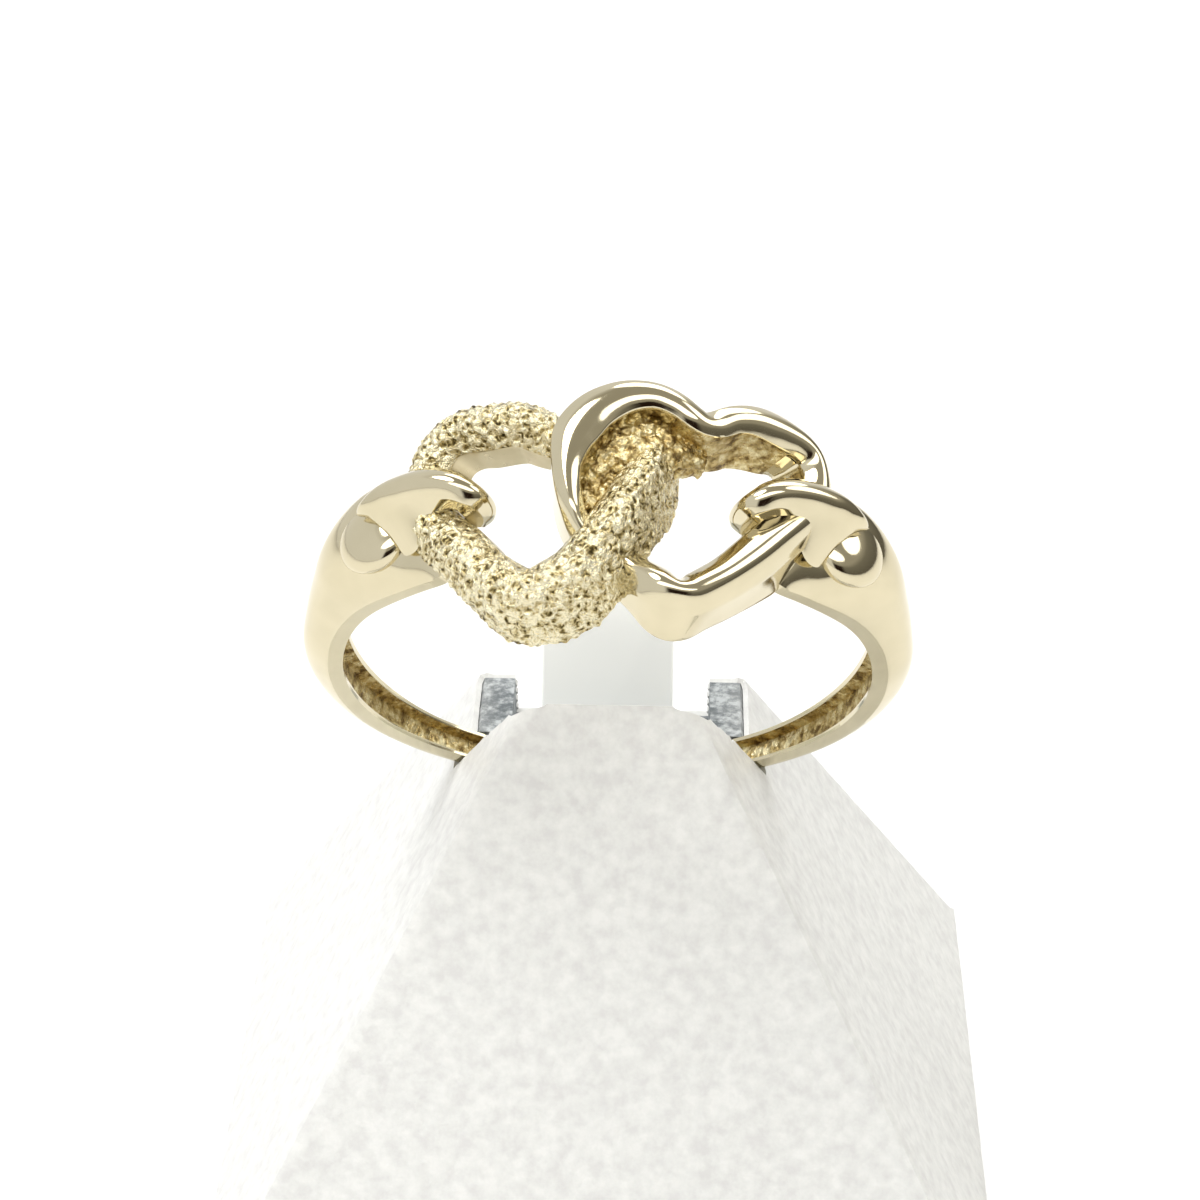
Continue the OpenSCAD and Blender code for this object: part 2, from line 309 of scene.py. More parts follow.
def join(name, pieces):
    only(*pieces)
    bpy.ops.object.join()
    whole = bpy.context.object
    whole.name = name
    return whole


def give(piece, *materials):
    for material in materials:
        piece.data.materials.append(material)


def use_second_material(piece, wanted):
    """Gives the second material to the faces for which wanted() holds."""
    open_mesh(piece, "FACE")
    pick(piece, "faces", wanted)
    piece.active_material_index = 1
    bpy.ops.object.material_slot_assign()
    close_mesh()


def finish_piece(piece, name, node):
    """Names a piece, hangs it on the root and hides the solid that it stands for."""
    piece.name = name
    piece.data.name = name
    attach(piece, "root")
    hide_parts(node)
    return piece


# Limbs: ribs of one outline, bridged one to the next

def on_ring(turn, radius, along):
    """A point at a turn round the ring, a radius and a place along the finger."""
    return Vector((radius * sin(radians(turn)), along, radius * cos(radians(turn)))) * MM


def between(a, b, c, d, t):
    """A place from b, at 0, to c, at 1, on a smooth curve through rows of numbers."""
    return tuple(
        0.5 * (2 * q + (r - p) * t + (2 * p - 5 * q + 4 * r - s) * t * t + (3 * q - p - 3 * r + s) * t ** 3)
        for p, q, r, s in zip(a, b, c, d)
    )


def closed_curve(rows, steps):
    count = len(rows)
    return [
        between(rows[i - 1], rows[i], rows[(i + 1) % count], rows[(i + 2) % count], k / steps)
        for i in range(count) for k in range(steps)
    ]


def open_curve(rows, steps):
    last = len(rows) - 1
    curve = [
        between(rows[max(i - 1, 0)], rows[i], rows[i + 1], rows[min(i + 2, last)], k / steps)
        for i in range(last) for k in range(steps)
    ]
    return curve + [rows[last]]


def outline(points):
    """A circle whose points are moved to the outline of a limb."""
    select_nothing()
    bpy.ops.mesh.primitive_circle_add(vertices=len(points), radius=MM)
    shape = bpy.context.object
    open_mesh(shape)
    for number, (across, outward) in enumerate(points):
        pick_points(shape, [number])
        here = shape.data.vertices[number].co
        there = Vector((across, outward, 0)) * MM
        bpy.ops.transform.translate(value=there - here)
    close_mesh()
    return shape


def rib_place(middle, across, outward, width, height):
    """Where a rib stands: its width lies across the path and its top points outwards."""
    ahead = across.cross(outward)
    turn = Matrix((across * width, outward * height, ahead * width)).transposed().to_4x4()
    return RING_FRAME @ Matrix.Translation(middle) @ turn


def loft(points, ribs, closed, crisp=(), soft=()):
    """Copies an outline to each rib's place, moves some of its points, and bridges rib to rib."""
    shape = outline(points)
    copies = []
    for place, _ in ribs:
        only(shape)
        bpy.ops.object.duplicate(linked=False)
        rib = bpy.context.object
        rib.matrix_world = place
        copies.append(rib)
    body = join("limb", copies)
    settle(body)
    open_mesh(body)
    size = len(points)
    loops = [list(range(i * size, (i + 1) * size)) for i in range(len(ribs))]
    for loop, (_, moves) in zip(loops, ribs):
        for numbers, way in moves:
            if way.length > LEAST_MOVE:
                pick_points(body, [loop[number] for number in numbers])
                bpy.ops.transform.translate(value=RING_FRAME.to_3x3() @ way)
    for loop, following in zip(loops, loops[1:] + loops[:1] if closed else loops[1:]):
        pick_points(body, loop + following)
        bpy.ops.mesh.bridge_edge_loops()
    ends = () if closed else (loops[0], loops[-1])
    for end in ends:
        pick_points(body, end)
        bpy.ops.mesh.edge_face_add()
    bpy.ops.mesh.select_mode(type="EDGE")
    for lines, crease in ((crisp, 1.0), (soft, SOFT_CREASE)):
        if lines:
            pick(body, "edges", lambda edge: edge.verts[0].index % size in lines
                 and edge.verts[0].index % size == edge.verts[1].index % size)
            bpy.ops.transform.edge_crease(value=crease)
    if ends:
        pick(body, "edges", lambda edge: any(all(v.index in end for v in edge.verts) for end in ends))
        bpy.ops.transform.edge_crease(value=1.0)
    bpy.ops.mesh.select_all(action="SELECT")
    bpy.ops.mesh.normals_make_consistent(inside=False)
    close_mesh()
    bpy.data.objects.remove(shape)
    return body


def round_off(piece, bevel=0.0):
    """Smooths a limb and, where a bevel width is given, breaks its crisp edges with a narrow polished
    bevel.
    """
    subdivide(piece, 2)
    if bevel:
        open_mesh(piece, "EDGE")
        bpy.ops.mesh.edges_select_sharp(sharpness=radians(CRISP_ANGLE))
        bpy.ops.mesh.bevel(offset=bevel * MM, segments=2, affect="EDGES")
        bpy.ops.mesh.select_all(action="SELECT")
        bpy.ops.mesh.dissolve_degenerate(threshold=LEAST_FACE * MM)
        close_mesh()
    shade(piece, 50)


# Crest, outer half of the crown, outer edge, middle and foot of the wall, underside, and back again
LIMB_OUTLINE = [(0, 1), (1 / 3, 8 / 9), (2 / 3, 5 / 9), (1, 0), (1, -0.5), (1, -1), (0, -1), (-1, -1),
                (-1, -0.5), (-1, 0), (-2 / 3, 5 / 9), (-1 / 3, 8 / 9)]
OUTER_EDGE, OUTER_MIDDLE, OUTER_FOOT, UNDERSIDE, INNER_FOOT, INNER_MIDDLE, INNER_EDGE = range(3, 10)
LIMB_EDGES = (OUTER_EDGE, INNER_EDGE)
LIMB_FEET = (OUTER_FOOT, INNER_FOOT)
INNER_WALL = {INNER_FOOT, INNER_MIDDLE, INNER_EDGE}
LIMB_INSIDE = INNER_WALL | {UNDERSIDE}


def limb_moves(across, outward, wall, crown, spread_out=0, spread_in=0):
    """Lengthens the two walls to their full height and spreads their feet."""
    foot = outward * (crown - wall) * MM
    middle = outward * 0.5 * (crown - wall) * MM
    return [
        ((OUTER_FOOT, UNDERSIDE, INNER_FOOT), foot),
        ((OUTER_MIDDLE, INNER_MIDDLE), middle),
        ((OUTER_FOOT,), across * spread_out * MM),
        ((OUTER_MIDDLE,), across * spread_out * OUTER_FOLLOWS * MM),
        ((INNER_FOOT,), -across * spread_in * MM),
        ((INNER_MIDDLE,), -across * spread_in * INNER_FOLLOWS * MM),
    ]


def limb_ribs(rows, crown_height, closed):
    """Ribs across a path on the ring: two walls and a rounded top."""
    count = len(rows)
    path_r = FINGER_R + 1
    ribs = []
    for i, (turn, along, half_w, under, top, share, spread_out, spread_in) in enumerate(rows):
        before = rows[i - 1] if closed else rows[max(i - 1, 0)]
        after = rows[(i + 1) % count] if closed else rows[min(i + 1, count - 1)]
        outward = on_ring(turn, 1, 0).normalized()
        ahead = on_ring(after[0], path_r, after[1]) - on_ring(before[0], path_r, before[1])
        across = outward.cross(ahead).normalized()
        crown = crown_height * share
        edge = on_ring(turn, FINGER_R + top - crown, along)
        moves = limb_moves(across, outward, top - crown - under, crown, spread_out, spread_in)
        ribs.append((rib_place(edge, across, outward, half_w, crown), moves))
    return ribs


def limb(rows, crown_height, closed, crisp=(), soft=()):
    return loft(LIMB_OUTLINE, limb_ribs(rows, crown_height, closed), closed, crisp, soft)


def outline_points(face):
    """The outline points that a face of a limb lies between."""
    return {v.index % len(LIMB_OUTLINE) for v in face.verts}


def rib_numbers(face):
    """The ribs that a face of a limb lies between."""
    return {v.index // len(LIMB_OUTLINE) for v in face.verts}


def roughen(piece, kind, size, depth, middle, group=""):
    """Pushes a piece's skin in and out by a pattern whose lumps are size millimetres across."""
    pattern = bpy.data.textures.new(kind.lower(), kind)
    pattern.noise_scale = size * MM
    apply_modifier(piece, "DISPLACE", texture=pattern, texture_coords="LOCAL", strength=depth * MM,
                   mid_level=middle, vertex_group=group)


def textured_part(piece, wanted):
    """Marks the part of a piece that the tool has roughened."""
    open_mesh(piece)
    pick(piece, "verts", wanted)
    group = piece.vertex_groups.new(name="textured")
    piece.vertex_groups.active_index = group.index
    bpy.context.scene.tool_settings.vertex_group_weight = 1.0
    bpy.ops.object.vertex_group_assign()
    close_mesh()
    return group.name


# The pieces of the ring

def stardust_heart(dusted, satin):
    """The heart whose top and outer wall are hammered; its inner wall is left smooth."""
    rows = closed_curve(STARDUST_ROWS, CURVE_STEPS)
    body = limb(rows, STARDUST_CROWN, closed=True, crisp=LIMB_FEET, soft=LIMB_EDGES)
    give(body, dusted, satin)
    use_second_material(body, lambda face: outline_points(face) <= LIMB_INSIDE)
    group = textured_part(body, lambda v: v.index % len(LIMB_OUTLINE) not in LIMB_INSIDE)
    subdivide(body, 3)
    roughen(body, "VORONOI", size=0.25, depth=-0.16, middle=0.45, group=group)
    shade(body, 60)
    return finish_piece(body, "stardust_heart", "ring")


def polished_heart(gold, raw):
    """The polished heart; the inner wall of its right lobe is raw from the casting."""
    rows = closed_curve(POLISHED_ROWS, CURVE_STEPS)
    body = limb(rows, POLISHED_CROWN, closed=True, crisp=LIMB_EDGES + LIMB_FEET)
    give(body, gold, raw)
    use_second_material(body, lambda face: outline_points(face) <= INNER_WALL
                        and rib_numbers(face) <= RIGHT_LOBE)
    round_off(body, HEART_BEVEL)
    return finish_piece(body, "polished_heart", "ring")


def filling(raw):
    """The rough metal left inside the polished heart's raised lobe."""
    body = limb(open_curve(FILLING_ROWS, FILLING_STEPS), POLISHED_CROWN, closed=False)
    give(body, raw)
    subdivide(body, 4)
    roughen(body, "CLOUDS", size=0.32, depth=0.34, middle=0.6)
    shade(body, 50)
    return finish_piece(body, "lobe_filling", "ring")


def link(gold, side):
    """The strap that holds a heart: it rises from the knob, passes over the heart and dives behind it."""
    rows = open_curve(LINK_ROWS, CURVE_STEPS)
    ribs = []
    for i, (turn, along, height, half_w, half_t, flare) in enumerate(rows):
        before = rows[max(i - 1, 0)]
        after = rows[min(i + 1, len(rows) - 1)]
        start = on_ring(before[0], FINGER_R + before[2], before[1])
        way = (on_ring(after[0], FINGER_R + after[2], after[1]) - start).normalized()
        across = Vector((0, 1, 0)).cross(way).cross(way).normalized()
        outward = way.cross(across)
        middle = on_ring(turn, FINGER_R + height, along)
        if side < 0:
            middle.x, across.x, outward.x = -middle.x, -across.x, -outward.x
        edge = middle + outward * (half_t - LINK_CROWN) * MM
        spread = across * flare * MM
        moves = limb_moves(across, outward, 2 * half_t - LINK_CROWN, LINK_CROWN)
        moves += [((OUTER_FOOT,), spread), ((OUTER_MIDDLE,), spread * LINK_FOLLOWS)]
        ribs.append((rib_place(edge, across, outward, half_w, LINK_CROWN), moves))
    body = loft(LIMB_OUTLINE, ribs, closed=False, crisp=LIMB_EDGES + LIMB_FEET)
    give(body, gold)
    round_off(body, LINK_BEVEL)
    return finish_piece(body, "link_right" if side > 0 else "link_left", "ring")


EGG_OUTLINE = [(0, 1), (0.5, 0.87), (0.87, 0.5), (1, 0), (0.88, -0.6), (0.5, -1), (0, -1), (-0.5, -1),
               (-0.88, -0.6), (-1, 0), (-0.87, 0.5), (-0.5, 0.87)]
EGG_UNDERSIDE = (5, 6, 7)


def knob(gold, side):
    """The egg-shaped knob, proud of the shoulder, in which a link is rooted."""
    ribs = []
    for i in range(KNOB_STEPS + 1):
        swing = -cos(pi * (KNOB_END + (1 - 2 * KNOB_END) * i / KNOB_STEPS))
        share = sqrt(1 - swing * swing)
        turn = (KNOB_TURN + KNOB_REACH * swing) * side
        outward = on_ring(turn, 1, 0).normalized()
        edge = on_ring(turn, FINGER_R + KNOB_H + KNOB_RISE * swing, KNOB_ALONG)
        under = outward * -KNOB_DROP * share * MM
        place = rib_place(edge, Vector((0, 1, 0)), outward, KNOB_HALF_W * share, KNOB_DOME * share)
        ribs.append((place, [(EGG_UNDERSIDE, under)]))
    body = loft(EGG_OUTLINE, ribs, closed=False)
    give(body, gold)
    round_off(body)
    return finish_piece(body, "knob_right" if side > 0 else "knob_left", "ring")


# Crest, outer half of the dome, edge, rim and side of the channel, its floor, and back again
SHANK_OUTLINE = [(0, 1), (0.35, 0.965), (0.65, 0.75), (0.87, 0.36), (1, 0), (1, -1), (0.75, -1), (0.6, -1),
                 (0, -1), (-0.6, -1), (-0.75, -1), (-1, -1), (-1, 0), (-0.87, 0.36), (-0.65, 0.75),
                 (-0.35, 0.965)]
SHANK_CRISP = (4, 5, 11, 12)
SHANK_SOFT = (6, 7, 9, 10)
SHANK_LOWER = (5, 6, 7, 8, 9, 10, 11)
SHANK_CHANNEL = (7, 8, 9)
SHANK_INSIDE = (6, 7, 8, 9, 10)
SHANK_DOME = (1, 2, 3, 4, 12, 13, 14, 15)


def shank(gold, cast):
    """The band round the finger, with the rough channel cast into its inside."""
    half = open_curve(SHANK_ROWS, CURVE_STEPS)
    rows = half + [(360 - row[0],) + tuple(row[1:]) for row in reversed(half[:-1])]
    ribs = []
    for turn, shift, width, rim, crown, rise, channel in rows:
        outward = on_ring(turn, 1, 0).normalized()
        edge = on_ring(turn, FINGER_R + rim, shift)
        place = rib_place(edge, Vector((0, 1, 0)), outward, width / 2, crown)
        moves = [(SHANK_LOWER, outward * (crown - rim) * MM), (SHANK_CHANNEL, outward * channel * MM)]
        moves += [((point,), outward * SHANK_OUTLINE[point][0] * rise * MM) for point in SHANK_DOME]
        ribs.append((place, moves))
    body = loft(SHANK_OUTLINE, ribs, closed=False, crisp=SHANK_CRISP, soft=SHANK_SOFT)
    give(body, gold, cast)
    size = len(SHANK_OUTLINE)
    rough = range(ROUGH_START, len(rows) - ROUGH_START)
    use_second_material(body, lambda face: all(
        v.index // size in rough and v.index % size in SHANK_INSIDE for v in face.verts))
    round_off(body)
    return finish_piece(body, "shank", "ring")


# The stand

def cut_away(point):
    """True where the slot, the notch, or the room over the front panel or the rear half is."""
    p = point / MM
    here = SLOT_FRAME.inverted() @ point / MM
    reach = abs(here.x) * sin(radians(SLOT_END_TURN)) + here.z * cos(radians(SLOT_END_TURN))
    slot = abs(here.y) < SLOT_HALF and here.z > -SLOT_FLOOR and reach < SLOT_END_R
    rear = p.z > REAR_H and here.y > 0 and here.z > -SLOT_FLOOR
    notch = abs(p.x) < NOTCH_HALF and p.y > NOTCH_Y and p.z > NOTCH_FLOOR
    return slot or p.z > FRONT_H or rear or notch


def slot_plane(place, way):
    """Takes a plane from the slot's frame to the stand's."""
    return SLOT_FRAME @ place, SLOT_FRAME.to_3x3() @ way


def cover_cuts():
    """The planes of the slot's walls, floor and ends, of the notch, and of the stand's upper edges."""
    across, along, up = Vector((1, 0, 0)), Vector((0, 1, 0)), Vector((0, 0, 1))
    cuts = [slot_plane(along * side * SLOT_HALF * MM, along) for side in (1, -1)]
    cuts.append(slot_plane(-up * SLOT_FLOOR * MM, up))
    cuts += [(up * height * MM, up) for height in (FRONT_H, REAR_H, NOTCH_FLOOR)]
    cuts += [(across * side * NOTCH_HALF * MM, across) for side in (1, -1)]
    ends = [on_ring(SLOT_END_TURN * side, SLOT_END_R, 0) for side in (-1, 1)]
    cuts += [slot_plane(end, end.normalized()) for end in ends]
    return cuts


def near_front_corner(point):
    """True near the front panel's two upper corners, which the leatherette rounds."""
    corner = BASE_W / 2 * (1 - FRONT_H / APEX_H) * MM
    return point.y < 0 and hypot(abs(point.x) - corner, point.z - FRONT_H * MM) < CORNER_ROUND * MM


def on_ridge(point):
    return abs(abs(point.x) - abs(point.y)) < RIDGE_ROUND * MM and point.z > RIDGE_START * MM


def cover(leatherette):
    """The leatherette wrapped over the stand's four faces."""
    select_nothing()
    bpy.ops.mesh.primitive_cone_add(
        vertices=4, radius1=(BASE_W / 2 - COVER_INSET) * sqrt(2) * MM, radius2=0, depth=APEX_H * MM,
        end_fill_type="NOTHING", location=(0, 0, APEX_H / 2 * MM), rotation=(0, 0, radians(45)))
    body = bpy.context.object
    settle(body)
    open_mesh(body)
    bpy.ops.mesh.select_all(action="SELECT")
    for _ in range(2):
        bpy.ops.mesh.subdivide(number_cuts=9)
    pick(body, "verts", lambda v: on_ridge(v.co))
    bpy.ops.mesh.vertices_smooth(factor=0.5, repeat=2)
    for place, way in cover_cuts():
        bpy.ops.mesh.select_all(action="SELECT")
        bpy.ops.mesh.bisect(plane_co=place, plane_no=way)
    bpy.ops.mesh.select_mode(type="FACE")
    pick(body, "faces", lambda face: cut_away(face.calc_center_median()))
    bpy.ops.mesh.delete(type="FACE")
    bpy.ops.mesh.select_all(action="SELECT")
    bpy.ops.mesh.normals_make_consistent(inside=False)
    pick(body, "verts", lambda v: near_front_corner(v.co))
    bpy.ops.mesh.vertices_smooth(factor=0.5, repeat=8)
    close_mesh()
    roughen(body, "CLOUDS", size=0.9, depth=0.05, middle=0.5)
    apply_modifier(body, "SOLIDIFY", thickness=COVER_T * MM, offset=-1, use_even_offset=False)
    open_mesh(body)
    pick(body, "verts", lambda v: v.co.z < FLAT_BELOW * MM)
    bpy.ops.transform.resize(value=(1, 1, 0), center_override=(0, 0, 0))
    close_mesh()
    shade(body, 40)
    give(body, leatherette)
    return finish_piece(body, "leatherette_cover", "stand_cover")


def clip_tab(plastic):
    """The plastic tab, with its two upper corners rounded."""
    select_nothing()
    low, high = (Vector(corner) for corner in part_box("clip_tab"))
    bpy.ops.mesh.primitive_cube_add(size=1, location=(low + high) / 2, scale=high - low)
    body = bpy.context.object
    settle(body)
    open_mesh(body, "EDGE")
    pick(body, "edges", lambda edge: abs(edge.verts[0].co.x - edge.verts[1].co.x) < SAME_PLACE
         and all(v.co.z > high.z - SAME_PLACE for v in edge.verts))
    bpy.ops.mesh.bevel(offset=TAB_CORNER * MM, segments=4, affect="EDGES")
    close_mesh()
    apply_modifier(body, "BEVEL", width=TAB_EDGE * MM, segments=3, limit_method="ANGLE",
                   angle_limit=radians(40))
    shade(body, 40)
    give(body, plastic)
    return finish_piece(body, "plastic_tab", "clip_tab")


# Materials

def new_material(name, metallic=0.0):
    material = bpy.data.materials.new(name)
    material.use_nodes = True
    tree = material.node_tree
    shader = next(node for node in tree.nodes if node.type == "BSDF_PRINCIPLED")
    shader.inputs["Metallic"].default_value = metallic
    return material, tree, shader


def feed(tree, shader, tone, gloss, skin):
    """Gives a shader its colour, roughness and relief."""
    for source, socket in ((tone, "Base Color"), (gloss, "Roughness"), (skin, "Normal")):
        tree.links.new(source, shader.inputs[socket])


def add(tree, kind, **settings):
    node = tree.nodes.new(kind)
    for name, value in settings.items():
        setattr(node, name, value)
    return node


def coordinates(tree):
    return add(tree, "ShaderNodeTexCoord").outputs["Object"]


def noise(tree, place, size, detail=2.0, rough=0.5, output="Fac"):
    """Cloudy variation whose patches are about size millimetres across."""
    node = add(tree, "ShaderNodeTexNoise")
    tree.links.new(place, node.inputs["Vector"])
    node.inputs["Scale"].default_value = 1 / (size * MM)
    node.inputs["Detail"].default_value = detail
    node.inputs["Roughness"].default_value = rough
    return node.outputs[output]


def stirred(tree, place, size, amount):
    """Coordinates pushed about by up to amount millimetres, so that a pattern isn't regular."""
    push = add(tree, "ShaderNodeVectorMath", operation="MULTIPLY_ADD")
    tree.links.new(noise(tree, place, size, output="Color"), push.inputs[0])
    push.inputs[1].default_value = (amount * MM,) * 3
    tree.links.new(place, push.inputs[2])
    return push.outputs[0]


def cells(tree, place, size, feature="F1"):
    """Distance from the middle of cells about size millimetres across."""
    node = add(tree, "ShaderNodeTexVoronoi", feature=feature)
    tree.links.new(place, node.inputs["Vector"])
    node.inputs["Scale"].default_value = 1 / (size * MM)
    return node.outputs["Distance"]


def ramp(tree, source, stops):
    """Turns a value into the colour, or the number, of the stops that it lies between."""
    node = add(tree, "ShaderNodeValToRGB")
    tree.links.new(source, node.inputs["Fac"])
    bar = node.color_ramp.elements
    while len(bar) < len(stops):
        bar.new(0.5)
    for element, (place, colour) in zip(bar, stops):
        element.position = place
        element.color = (*colour, 1) if not isinstance(colour, float) else (colour, colour, colour, 1)
    return node.outputs["Color"]


def mixed(tree, amount, first, second):
    """Goes from the first colour to the second by an amount from 0 to 1."""
    node = add(tree, "ShaderNodeMixRGB")
    for source, socket in ((amount, "Fac"), (first, "Color1"), (second, "Color2")):
        if isinstance(source, tuple):
            node.inputs[socket].default_value = (*source, 1)
        else:
            tree.links.new(source, node.inputs[socket])
    return node.outputs["Color"]


def relief(tree, source, depth, under=None):
    """Bump whose full height is depth millimetres, over any bump that lies under it."""
    node = add(tree, "ShaderNodeBump")
    node.inputs["Strength"].default_value = 1.0
    node.inputs["Distance"].default_value = depth * MM
    tree.links.new(source, node.inputs["Height"])
    if under:
        tree.links.new(under, node.inputs["Normal"])
    return node.outputs["Normal"]


def polished_gold():
    """Mirror-polished gold, with slow waves and very fine marks."""
    material, tree, shader = new_material("polished gold", metallic=1.0)
    place = coordinates(tree)
    tone = ramp(tree, noise(tree, place, 1.4), [(0.3, (0.64, 0.575, 0.40)), (0.7, (0.69, 0.62, 0.44))])
    gloss = ramp(tree, noise(tree, place, 0.5, detail=4), [(0.3, 0.06), (0.75, 0.13)])
    waves = relief(tree, noise(tree, place, 1.6, detail=1), 0.02)
    marks = relief(tree, noise(tree, place, 0.09, detail=3), 0.0006, waves)
    feed(tree, shader, tone, gloss, marks)
    return material


def satin_gold():
    """Gold left smooth but not polished."""
    material, tree, shader = new_material("satin gold", metallic=1.0)
    place = coordinates(tree)
    tone = ramp(tree, noise(tree, place, 0.9), [(0.3, (0.58, 0.50, 0.32)), (0.7, (0.66, 0.58, 0.39))])
    gloss = ramp(tree, noise(tree, place, 0.4, detail=4), [(0.3, 0.26), (0.75, 0.36)])
    feed(tree, shader, tone, gloss, relief(tree, noise(tree, place, 0.12, detail=3), 0.004))
    return material


def stardust_gold():
    """Gold hammered all over with a pointed tool: bright facets round each pit, which painted shade darkens
    towards its middle.
    """
    material, tree, shader = new_material("stardust gold", metallic=1.0)
    place = coordinates(tree)
    pits_and_pit_shade = cells(tree, stirred(tree, place, size=0.22, amount=0.42), 0.25)
    # Painted shade: the colour goes nearly black towards the middle of each pit
    tone = ramp(tree, pits_and_pit_shade, [
        (0.12, (0.05, 0.035, 0.010)), (0.24, (0.24, 0.18, 0.065)),
        (0.38, (0.62, 0.52, 0.28)), (0.60, (0.86, 0.79, 0.56)),
    ])
    gloss = ramp(tree, noise(tree, place, 0.15, detail=4), [(0.3, 0.10), (0.75, 0.28)])
    hammer = relief(tree, pits_and_pit_shade, 0.09)
    grit = relief(tree, noise(tree, place, 0.08, detail=4, rough=0.7), 0.03, hammer)
    feed(tree, shader, tone, gloss, grit)
    return material


def cast_gold():
    """Unpolished gold as it left the mould, brown in its hollows."""
    material, tree, shader = new_material("cast gold", metallic=1.0)
    place = coordinates(tree)
    tone = ramp(tree, noise(tree, place, 0.4, detail=4, rough=0.65), [
        (0.36, (0.17, 0.11, 0.04)), (0.50, (0.56, 0.43, 0.19)), (0.64, (0.88, 0.79, 0.50)),
    ])
    gloss = ramp(tree, noise(tree, place, 0.3, detail=3), [(0.3, 0.22), (0.75, 0.45)])
    lumps = relief(tree, noise(tree, place, 0.3, detail=4, rough=0.6), 0.09)
    feed(tree, shader, tone, gloss, lumps)
    return material


def leatherette_finish():
    """White leatherette: a soft uneven grain with a fine one over it."""
    material, tree, shader = new_material("white leatherette")
    place = coordinates(tree)
    tone = ramp(tree, noise(tree, place, 0.55, detail=3, rough=0.6), [
        (0.32, (0.69, 0.685, 0.675)), (0.5, (0.75, 0.755, 0.735)), (0.68, (0.81, 0.81, 0.79)),
    ])
    gloss = ramp(tree, noise(tree, place, 0.4, detail=3), [(0.3, 0.42), (0.75, 0.6)])
    grain = relief(tree, noise(tree, place, 0.5, detail=3, rough=0.55), 0.05)
    fine = relief(tree, cells(tree, place, 0.22, "SMOOTH_F1"), 0.012, grain)
    feed(tree, shader, tone, gloss, fine)
    return material


def core_board():
    """Grey fibre board, lined white at its two sides."""
    material, tree, shader = new_material("grey core board")
    place = coordinates(tree)
    speck = ramp(tree, noise(tree, place, 0.5, detail=4, rough=0.7), [
        (0.40, (0.14, 0.16, 0.17)), (0.50, (0.27, 0.29, 0.30)), (0.62, (0.52, 0.55, 0.56)),
    ])
    parts = add(tree, "ShaderNodeSeparateXYZ")
    tree.links.new(place, parts.inputs[0])
    side = add(tree, "ShaderNodeMath", operation="ABSOLUTE")
    tree.links.new(parts.outputs["X"], side.inputs[0])
    lined = ramp(tree, side.outputs[0], [(4.70 * MM, 0.0), (4.85 * MM, 1.0)])
    tone = mixed(tree, lined, speck, (0.74, 0.74, 0.72))
    rough = ramp(tree, noise(tree, place, 0.5, detail=3), [(0.3, 0.75), (0.75, 0.95)])
    fibres = relief(tree, noise(tree, place, 0.12, detail=4, rough=0.7), 0.05)
    feed(tree, shader, tone, rough, fibres)
    return material


def milky_plastic_painted_glow():
    """Milky plastic, with a painted glow that lightens the tab where it stands in shade."""
    material, tree, shader = new_material("milky plastic with painted glow")
    place = coordinates(tree)
    tone = ramp(tree, noise(tree, place, 2.2), [(0.3, (0.88, 0.89, 0.865)), (0.7, (0.92, 0.93, 0.905))])
    gloss = ramp(tree, noise(tree, place, 0.8, detail=3), [(0.3, 0.25), (0.75, 0.38)])
    # Painted glow: the plastic gives off a little light of its own, which lightens it in the ring's shade
    shader.inputs["Emission Color"].default_value = (0.90, 0.91, 0.88, 1)
    shader.inputs["Emission Strength"].default_value = 0.34
    feed(tree, shader, tone, gloss, relief(tree, noise(tree, place, 1.5), 0.02))
    return material


def floor_finish():
    material, tree, shader = new_material("pale floor")
    patches = noise(tree, coordinates(tree), 30)
    tone = ramp(tree, patches, [(0.3, (0.86, 0.86, 0.86)), (0.7, (0.89, 0.89, 0.89))])
    tree.links.new(tone, shader.inputs["Base Color"])
    shader.inputs["Roughness"].default_value = 0.7
    return material


# Floor, light and camera, in metres

FLOOR_W = 1.6
FLOOR_DROP = 0.00002
CAMERA_PLACE = Vector((0.00133, -0.11102, 0.08113))
CAMERA_AHEAD = Vector((-0.0138, 0.8793, -0.4761))
CAMERA_RIGHT = Vector((0.9998, 0.0099, 0.0174))
CAMERA_NEAR = 0.001
# The lens in pixels of the photograph, the photograph's width, and the sensor's in millimetres
LENS_PIXELS = 3721
PHOTO_PIXELS = 1200
SENSOR_W = 36
# What the lights are turned to, and the name, place, power in watts and size of each
LIGHT_AIM = Vector((0, 0, 0.018))
LIGHTS = [
    ("key", (-0.18, -0.02, 0.46), 1.25, (0.36, 0.24)),
    ("back", (0.10, 0.34, 0.40), 0.7, (0.40, 0.30)),
    ("front", (0.04, -0.31, 0.34), 0.62, (0.60, 0.20)),
    ("right", (0.32, 0.04, 0.33), 0.42, (0.30, 0.26)),
]
# Colours of the surroundings
WHITE = (0.86, 0.86, 0.86)
CLOTH = (0.42, 0.40, 0.35)
DARK = (0.022, 0.012, 0.008)
SCREEN_LOW = (0.14, 0.13, 0.11)
SCREEN_HIGH = (0.22, 0.21, 0.18)


def pale_floor():
    select_nothing()
    bpy.ops.mesh.primitive_plane_add(size=FLOOR_W, location=(0, 0, -FLOOR_DROP))
    floor = bpy.context.object
    floor.name = "floor"
    settle(floor)
    give(floor, floor_finish())


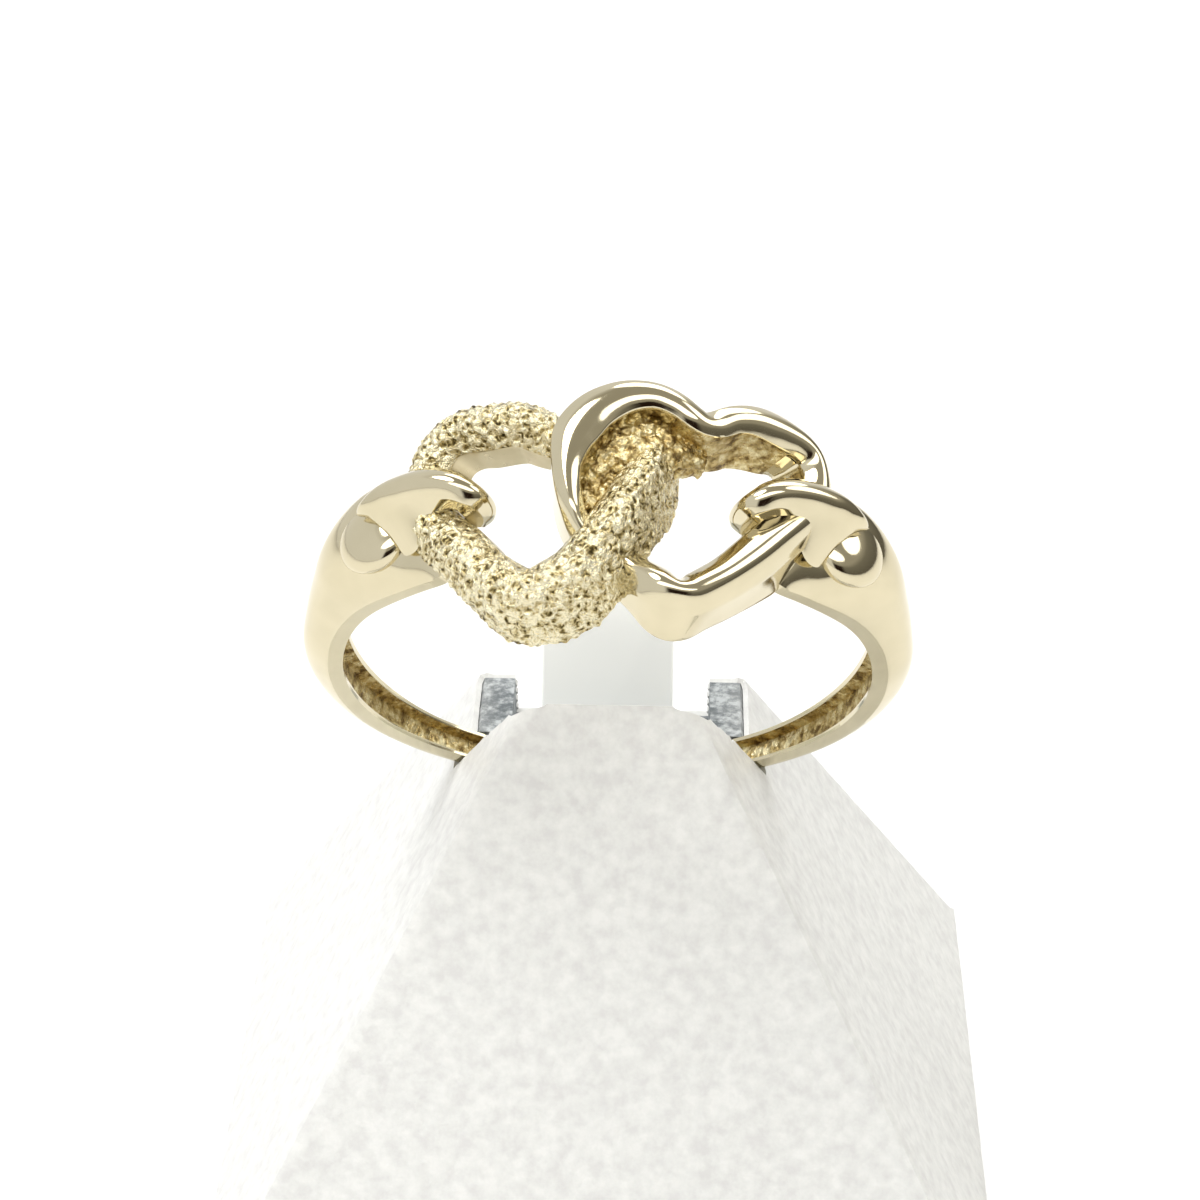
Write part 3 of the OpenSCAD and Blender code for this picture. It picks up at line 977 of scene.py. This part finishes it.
def camera():
    """The camera where the photograph was taken from."""
    ahead = CAMERA_AHEAD.normalized()
    right = (CAMERA_RIGHT - ahead * CAMERA_RIGHT.dot(ahead)).normalized()
    turn = Matrix((right, right.cross(ahead), -ahead)).transposed().to_4x4()
    select_nothing()
    bpy.ops.object.camera_add()
    eye = bpy.context.object
    eye.matrix_world = Matrix.Translation(CAMERA_PLACE) @ turn
    eye.data.sensor_width = SENSOR_W
    eye.data.lens = SENSOR_W * LENS_PIXELS / PHOTO_PIXELS
    eye.data.clip_start = CAMERA_NEAR
    bpy.context.scene.camera = eye


def soft_light(name, place, power, size):
    """A soft oval light turned to the object."""
    select_nothing()
    bpy.ops.object.light_add(type="AREA", location=place)
    light = bpy.context.object
    light.name = name
    light.data.energy = power
    light.data.shape = "ELLIPSE"
    light.data.size, light.data.size_y = size
    light.rotation_euler = (LIGHT_AIM - Vector(place)).to_track_quat("-Z", "Y").to_euler()


def halved(tree, source, sign):
    """Brings a direction's part from -1 to 1 into 0 to 1."""
    node = add(tree, "ShaderNodeMath", operation="MULTIPLY_ADD")
    tree.links.new(source, node.inputs[0])
    node.inputs[1].default_value = 0.5 * sign
    node.inputs[2].default_value = 0.5
    return node.outputs[0]


def surroundings():
    """A white tent, open in front below the lights, with a grey screen at the right."""
    world = bpy.data.worlds.new("white room")
    bpy.context.scene.world = world
    world.use_nodes = True
    tree = world.node_tree
    sky = next(node for node in tree.nodes if node.type == "BACKGROUND")
    parts = add(tree, "ShaderNodeSeparateXYZ")
    tree.links.new(add(tree, "ShaderNodeTexCoord").outputs["Generated"], parts.inputs[0])
    x, y, z = parts.outputs
    opening = ramp(tree, z, [(0.0, DARK), (0.32, DARK), (0.38, CLOTH)])
    behind = ramp(tree, z, [(0.0, WHITE), (0.66, WHITE), (0.80, CLOTH)])
    front = ramp(tree, halved(tree, y, -1), [(0.68, 0.0), (0.80, 1.0)])
    tent = mixed(tree, front, behind, opening)
    window = ramp(tree, z, [(0.0, WHITE), (0.70, WHITE), (0.90, CLOTH)])
    left = ramp(tree, halved(tree, x, -1), [(0.54, 0.0), (0.62, 1.0)])
    screen = ramp(tree, z, [(0.0, SCREEN_LOW), (0.30, SCREEN_HIGH), (0.42, CLOTH)])
    right = ramp(tree, halved(tree, x, 1), [(0.68, 0.0), (0.78, 1.0)])
    lit = mixed(tree, left, tent, window)
    tree.links.new(mixed(tree, right, lit, screen), sky.inputs["Color"])
    sky.inputs["Strength"].default_value = 1.0


camera()
pale_floor()
surroundings()
for light in LIGHTS:
    soft_light(*light)

gold = polished_gold()
raw_gold = cast_gold()
shank(gold, raw_gold)
for side in (-1, 1):
    knob(gold, side)
    link(gold, side)
stardust_heart(stardust_gold(), satin_gold())
polished_heart(gold, raw_gold)
filling(raw_gold)
cover(leatherette_finish())
clip_tab(milky_plastic_painted_glow())
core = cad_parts["stand_core"]
core.data.materials.clear()
core.data.materials.append(core_board())

bpy.context.scene.view_settings.view_transform = "Standard"
